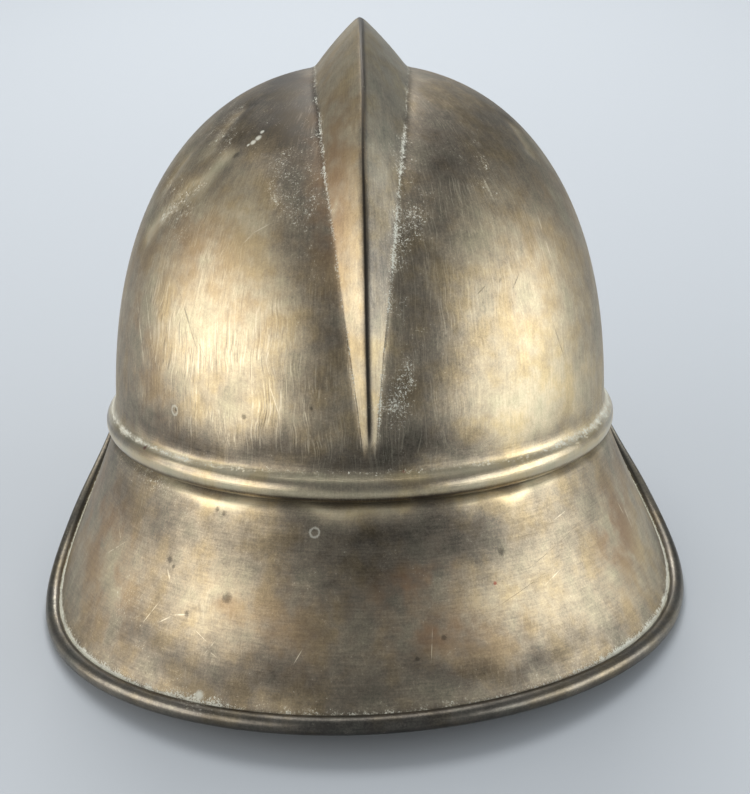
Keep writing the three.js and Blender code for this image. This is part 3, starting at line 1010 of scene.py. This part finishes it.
def brass_material(name, marks, lines, locate, brushing, threads, thread_strength):
    """Worn brass, brushed finely along the grain's axes that have the small numbers, with fine
    scratches, and with the marks and lines of a table, which locate puts on the surface."""
    shade = Shading(name)
    textures = surface_textures(shade, brushing)
    tone, color = tarnish(shade, textures)
    shares = scratches(shade, textures, lines, threads, thread_strength)
    color = shade.blend(shade.times(shares["pale"], PALE_COVER), color, PALE)
    color = shade.blend(shade.times(shares["dark"], DARK_COVER), color, DARK_LINE)

    mottle, speckle = textures["mottle"], textures["speckle"]
    # Grime and painted shade from the attribute, with the dark round marks
    grime_and_shade = shade.math("ADD", shade.attribute("grime_and_shade"), shade.swaying(mottle, 0.5))
    grime_and_shade = shade.remap(grime_and_shade, 0.15, 0.85)
    grime_and_shade = add_marks(shade, textures, marks, locate, "dark", grime_and_shade)
    residue = shade.math("ADD", shade.attribute("crust"), shade.swaying(speckle, 2.8))
    residue = shade.remap(shade.math("ADD", residue, shade.swaying(mottle, 1.2)), 0.55, 0.85)
    crust = add_marks(shade, textures, marks, locate, "ring", residue)
    crust = add_marks(shade, textures, marks, locate, "crust", crust)
    color = shade.blend(shade.times(grime_and_shade, GRIME_AND_SHADE_COVER), color, GRIME_AND_SHADE)
    reddish = add_marks(shade, textures, marks, locate, "russet", None)
    if reddish is not None:
        color = shade.blend(reddish, color, REDDISH)
    color = shade.blend(shade.times(crust, CRUST_COVER), color, CRUST)

    rough = shade.remap(tone, 0.15, 0.85, DULL_ROUGHNESS, BRIGHT_ROUGHNESS)
    rough = shade.math("SUBTRACT", rough, shade.times(shade.attribute("polish"), POLISH))
    rough = shade.math("ADD", rough, shade.times(crust, CRUST_ROUGHNESS))
    raised = {**textures, "crust": residue}
    height = shade.total([(raised[key], share) for key, share in RELIEF_SHARES.items()])
    sockets = shade.shader.inputs
    shade.feed(sockets["Base Color"], color)
    shade.feed(sockets["Metallic"], shade.scaled(crust, -CRUST_METAL_LOSS, 1.0))
    shade.feed(sockets["Roughness"], rough)
    shade.feed(sockets["Normal"], shade.bump(height, RELIEF_STRENGTH, RELIEF))
    return shade.material


# Fine scratches: turn and closeness of two layers each
UPRIGHT_THREADS = {
    "pale": [((0.0, 0.04, 0.0), (1700, 500, 40)), ((0.0, -0.16, 0.0), (1900, 700, 60))],
    "dark": [((0.0, -0.06, 0.0), (1500, 500, 34)), ((0.0, 0.2, 0.0), (1700, 600, 50))],
}
SLANTED_THREADS = {
    "pale": [((0.0, 0.3, 0.0), (1700, 500, 90)), ((0.0, -1.2, 0.0), (1700, 600, 60))],
    "dark": [((0.0, -0.5, 0.0), (1500, 500, 70)), ((0.0, 1.4, 0.0), (1700, 600, 50))],
}
MATERIALS = {
    "skull_brass": brass_material("skull_brass", SKULL_MARKS, SKULL_LINES, on_skull,
                                  UPRIGHT, UPRIGHT_THREADS, 0.95),
    "guard_brass": brass_material("guard_brass", GUARD_MARKS, GUARD_LINES, on_guard,
                                  LEVEL, SLANTED_THREADS, 0.2),
    "peak_brass": brass_material("peak_brass", [], [], on_guard, LEVEL, SLANTED_THREADS, 0.3),
}

make_skull()
make_flared("neck_guard_brass_sheet", GUARD, 360, 60, "neck_guard", "guard_brass")
make_flared("front_peak_brass_sheet", PEAK, 260, 40, "front_peak", "peak_brass")


# Camera, at the photograph's angle to the helmet. The values are in the upright helmet's frame.

PHOTO_WIDTH, PHOTO_HEIGHT = 750, 794
CAMERA_DISTANCE = 850.0
CAMERA_ELEVATION = math.radians(14.64)
CAMERA_YAW = math.radians(-1.68)
CAMERA_ROLL = math.radians(-0.92)
CAMERA_TARGET = Vector((6.45, 0.0, 3.47))
FOCAL_PIXELS = 2011.6
SENSOR = 36.0


def make_camera():
    back = Vector((math.sin(CAMERA_YAW) * math.cos(CAMERA_ELEVATION),
                   -math.cos(CAMERA_YAW) * math.cos(CAMERA_ELEVATION),
                   math.sin(CAMERA_ELEVATION)))
    right = (-back).cross(Vector((0, 0, 1))).normalized()
    up = right.cross(-back)
    cosine, sine = math.cos(CAMERA_ROLL), math.sin(CAMERA_ROLL)
    right, up = right * cosine + up * sine, up * cosine - right * sine
    where = CAMERA_TARGET + back * CAMERA_DISTANCE
    matrix = Matrix((right, up, back)).transposed().to_4x4()
    matrix.translation = where
    matrix = STANDING @ matrix
    matrix.translation = matrix.translation * MM
    data = bpy.data.cameras.new("camera")
    data.sensor_width = SENSOR
    data.lens = FOCAL_PIXELS * SENSOR / max(PHOTO_WIDTH, PHOTO_HEIGHT)
    camera = bpy.data.objects.new("camera", data)
    camera.matrix_world = matrix
    bpy.context.scene.collection.objects.link(camera)
    bpy.context.scene.camera = camera


# Floor, backdrop and light

PAPER = (0.44, 0.465, 0.49, 1)
PAPER_ROUGHNESS = 0.9
ROOM_COLOR = (0.80, 0.86, 0.92, 1)
ROOM_STRENGTH = 0.44
LIGHT_TARGET = (0.0, 0.0, 0.11)


def make_stage():
    """A pale floor that curves up into a wall behind the helmet, in metres."""
    half_width, front, wall_start, radius, height = 3.0, -3.0, 1.6, 0.8, 3.0
    bend_steps = 16
    profile = [(front, 0.0), (wall_start, 0.0)]
    for k in range(1, bend_steps + 1):
        turn = k / bend_steps * math.pi / 2
        profile.append((wall_start + radius * math.sin(turn), radius * (1 - math.cos(turn))))
    profile.append((wall_start + radius, height))
    points = [(x, y, z) for y, z in profile for x in (-half_width, half_width)]
    faces = [(2 * k, 2 * k + 1, 2 * k + 3, 2 * k + 2) for k in range(len(profile) - 1)]
    mesh = bpy.data.meshes.new("backdrop")
    mesh.from_pydata(points, [], faces)
    mesh.polygons.foreach_set("use_smooth", [True] * len(faces))
    material = bpy.data.materials.new("backdrop_paper")
    material.use_nodes = True
    shader = material.node_tree.nodes["Principled BSDF"]
    shader.inputs["Base Color"].default_value = PAPER
    shader.inputs["Roughness"].default_value = PAPER_ROUGHNESS
    mesh.materials.append(material)
    backdrop = bpy.data.objects.new("backdrop", mesh)
    bpy.context.scene.collection.objects.link(backdrop)


def area_light(name, where, target, size, power, color=(1, 1, 1)):
    data = bpy.data.lights.new(name, "AREA")
    data.shape = "RECTANGLE"
    data.size, data.size_y = size
    data.energy = power
    data.color = color
    light = bpy.data.objects.new(name, data)
    light.location = where
    light.rotation_euler = (Vector(where) - Vector(target)).to_track_quat("Z", "Y").to_euler()
    bpy.context.scene.collection.objects.link(light)


def make_lights():
    area_light("left_softbox", (-1.08, -0.36, 0.25), LIGHT_TARGET, (1.5, 0.72), 11.8, (1.0, 0.98, 0.95))
    area_light("right_softbox", (1.08, -0.36, 0.21), LIGHT_TARGET, (1.45, 0.62), 10.8, (0.97, 0.99, 1.0))
    area_light("top_softbox", (0.0, 0.5, 1.5), LIGHT_TARGET, (1.2, 1.2), 15)
    area_light("backdrop_light", (0.0, 1.35, 1.25), (0.0, 1.25, 0.0), (0.5, 0.5), 14)
    world = bpy.data.worlds.new("studio")
    bpy.context.scene.world = world
    world.use_nodes = True
    background = world.node_tree.nodes["Background"]
    background.inputs["Color"].default_value = ROOM_COLOR
    background.inputs["Strength"].default_value = ROOM_STRENGTH


make_camera()
make_stage()
make_lights()
bpy.context.scene.view_settings.view_transform = "Standard"

bpy.context.view_layer.update()
